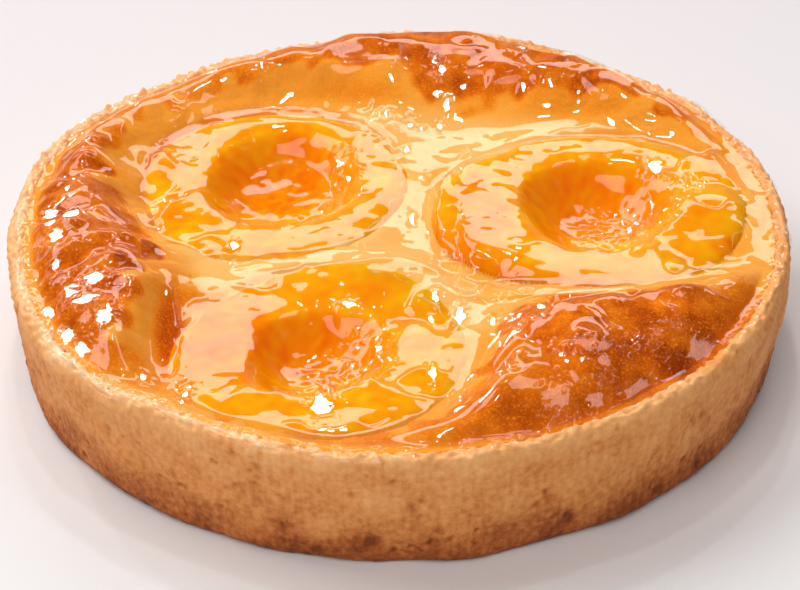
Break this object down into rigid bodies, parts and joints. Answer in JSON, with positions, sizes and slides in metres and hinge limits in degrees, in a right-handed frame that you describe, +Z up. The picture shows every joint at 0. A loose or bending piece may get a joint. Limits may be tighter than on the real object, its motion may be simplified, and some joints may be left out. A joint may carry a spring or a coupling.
{
  "type": "apricot tartlet",
  "caption": "Round individual tartlet: straight-sided shortcrust case filled with puffed, browned cream, with glazed apricot halves set cut side up.",
  "frame": {"origin": "centre of the flat underside, on the surface that the tartlet stands on", "axes": "+Z up out of the filling; -Y towards the half that lies nearest the rim, which is the front in the usual view; +X to the right of that view"},
  "size_m": [0.0994, 0.1002, 0.021],
  "materials": {
    "crust": "baked, dry and finely pitted",
    "cream": "browned baked cream under clear glaze",
    "apricot": "moist fruit under clear glaze"
  },
  "bodies": {
    "root": {"crust": "crust", "filling": "cream", "apricot_left": "apricot", "apricot_right": "apricot", "apricot_front": "apricot"}
  },
  "joints": []
}
